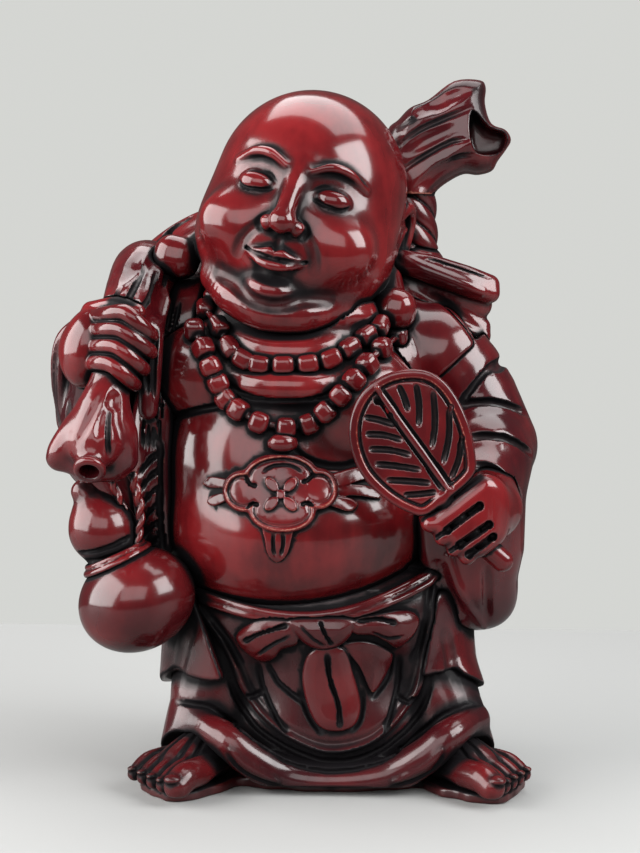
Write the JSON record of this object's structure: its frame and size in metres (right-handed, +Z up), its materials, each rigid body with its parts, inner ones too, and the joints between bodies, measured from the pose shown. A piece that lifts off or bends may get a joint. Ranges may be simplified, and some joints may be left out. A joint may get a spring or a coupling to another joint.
{
  "type": "carved figurine",
  "caption": "Standing carved figure of a merry bare-bellied monk with a leaf fan, bead strings, a gourd and a sack held over the shoulder; a table ornament.",
  "frame": {"origin": "centre of the base's underside, midway between the feet", "axes": "+Z up, the front of the figure faces -Y, +X to the viewer's right"},
  "size_m": [0.2026, 0.1477, 0.2989],
  "materials": {
    "skin": "polished red lacquer, dark wash in the hollows",
    "robe": "polished dark red lacquer, black wash in the folds",
    "trim": "polished red lacquer, black wash in the grooves",
    "sack": "polished dark red lacquer, black wash in the folds",
    "base": "dark red lacquer, worn at the edge"
  },
  "bodies": {
    "root": {"base": "base", "left_foot": "skin", "right_foot": "skin", "torso": "skin", "head": "skin", "left_hand": "skin", "right_hand": "skin", "under_robe": "robe", "coat_skirt": "robe", "coat_body": "robe", "left_sleeve": "robe", "right_sleeve": "robe", "apron": "robe", "apron_bow": "trim", "waist_band": "trim", "inner_beads": "trim", "outer_beads": "trim", "drop_bead": "trim", "pendant": "trim", "fan": "trim", "gourd": "trim", "gourd_cord": "trim", "sack": "sack", "sack_neck": "sack", "sack_twist": "sack", "sack_ruffle": "sack", "sack_folds": "sack"}
  },
  "joints": []
}
